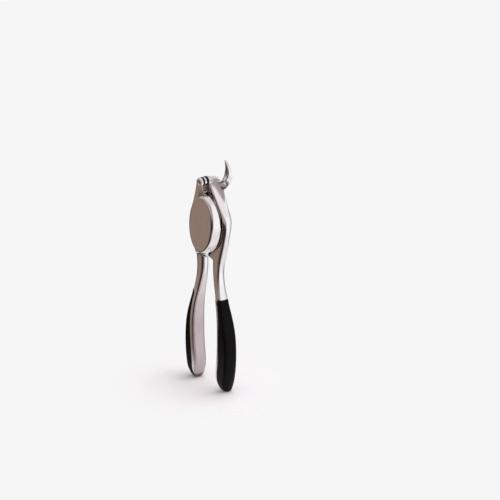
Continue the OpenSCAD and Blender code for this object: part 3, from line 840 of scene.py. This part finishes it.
def make_world():
    """Studio: bright to the right, behind, above and below, dim and warm towards the front.
    The camera itself sees a plain pale backdrop."""
    world = bpy.data.worlds.new("studio")
    bpy.context.scene.world = world
    world.use_nodes = True
    nodes, links = world.node_tree.nodes, world.node_tree.links
    coords = nodes.new("ShaderNodeTexCoord")
    turn = nodes.new("ShaderNodeMapping")
    turn.inputs["Rotation"].default_value[2] = math.pi / 2
    links.new(coords.outputs["Generated"], turn.inputs["Vector"])
    gradient = nodes.new("ShaderNodeTexGradient")
    gradient.gradient_type = "RADIAL"
    links.new(turn.outputs["Vector"], gradient.inputs["Vector"])
    around = gradient.outputs["Fac"]
    height = split(nodes, links, coords.outputs["Generated"])["Z"]
    # Colours round the studio from the back by the left, the front and the right, at three heights
    low = [(0.0, (0.92, 0.88, 0.89)), (0.19, (0.85, 0.80, 0.81)), (0.25, (0.08, 0.06, 0.055)),
           (0.35, (0.04, 0.028, 0.025)), (0.52, (0.03, 0.02, 0.02)), (0.60, (0.45, 0.39, 0.40)),
           (0.68, (0.95, 0.91, 0.92)), (1.0, (0.92, 0.88, 0.89))]
    middle = [(0.0, (0.42, 0.36, 0.39)), (0.149, (0.40, 0.34, 0.37)), (0.20, (0.14, 0.105, 0.10)),
              (0.30, (0.05, 0.035, 0.03)), (0.328, (0.25, 0.183, 0.147)), (0.351, (0.32, 0.232, 0.187)),
              (0.388, (0.20, 0.147, 0.118)), (0.42, (0.04, 0.028, 0.024)), (0.55, (0.025, 0.017, 0.015)),
              (0.63, (0.03, 0.02, 0.02)), (0.68, (0.50, 0.45, 0.47)), (0.73, (1.08, 1.06, 1.07)),
              (0.868, (1.12, 1.10, 1.11)), (0.90, (0.48, 0.42, 0.45)), (1.0, (0.42, 0.36, 0.39))]
    high = [(0.0, (0.52, 0.45, 0.49)), (0.149, (0.60, 0.53, 0.57)), (0.26, (0.70, 0.63, 0.66)),
            (0.36, (0.58, 0.51, 0.49)), (0.46, (0.56, 0.49, 0.51)), (0.62, (0.42, 0.36, 0.39)),
            (0.69, (0.42, 0.36, 0.39)), (0.75, (1.08, 1.06, 1.07)), (0.868, (1.08, 1.06, 1.07)),
            (0.90, (0.50, 0.44, 0.47)), (1.0, (0.52, 0.45, 0.49))]
    above, below = [(0.0, (0.84, 0.79, 0.81))] * 2, [(0.0, (0.96, 0.94, 0.95))] * 2
    # Each layer takes over from the one under it between two heights
    layers = ((-0.87, -0.77, low), (-0.66, -0.46, middle), (-0.32, -0.02, high), (0.55, 0.85, above))
    colour = ramp(nodes, links, around, below)
    for start, end, stops in layers:
        layer = nodes.new("ShaderNodeMix")
        layer.data_type = "RGBA"
        links.new(spread(nodes, links, height, start, end, 0, 1), layer.inputs["Factor"])
        links.new(colour, layer.inputs["A"])
        links.new(ramp(nodes, links, around, stops), layer.inputs["B"])
        colour = layer.outputs["Result"]
    path = nodes.new("ShaderNodeLightPath")
    seen = nodes.new("ShaderNodeMix")
    seen.data_type = "RGBA"
    links.new(path.outputs["Is Camera Ray"], seen.inputs["Factor"])
    links.new(colour, seen.inputs["A"])
    seen.inputs["B"].default_value = BACKDROP
    links.new(seen.outputs["Result"], nodes["Background"].inputs["Color"])


def soft_lamp(name, place, target, size, power):
    """Round soft lamp aimed at the target. Metal does not mirror it."""
    data = bpy.data.lights.new(name, "AREA")
    data.shape, data.size, data.energy = "DISK", size, power
    obj = bpy.data.objects.new(name, data)
    bpy.context.scene.collection.objects.link(obj)
    obj.location = place
    obj.visible_glossy = False
    aim = np.array(target) - np.array(place)
    obj.rotation_euler = (math.atan2(math.hypot(aim[0], aim[1]), -aim[2]), 0,
                          math.atan2(aim[0], -aim[1]) + math.pi)


def make_camera():
    """The photograph's view: a long lens, the tool left of the middle of the picture."""
    azimuth, elevation, distance = math.radians(53.03), math.radians(21.45), 4.3967
    target = np.array([0.05614, 0.0, 0.13385])
    back = np.array([math.cos(elevation) * math.sin(azimuth), -math.cos(elevation) * math.cos(azimuth),
                     math.sin(elevation)])
    data = bpy.data.cameras.new("camera")
    data.lens, data.sensor_width = 400, 36
    obj = bpy.data.objects.new("camera", data)
    bpy.context.scene.collection.objects.link(obj)
    obj.matrix_world = (Matrix.Translation(target + back * distance) @ Matrix.Rotation(azimuth, 4, "Z")
                        @ Matrix.Rotation(math.pi / 2 - elevation, 4, "X"))
    bpy.context.scene.camera = obj


make_floor()
make_world()
soft_lamp("overhead", place=(0.1, 0.25, 0.9), target=(0, 0, 0.05), size=0.7, power=4.6)
make_camera()
bpy.context.scene.view_settings.view_transform = "Standard"
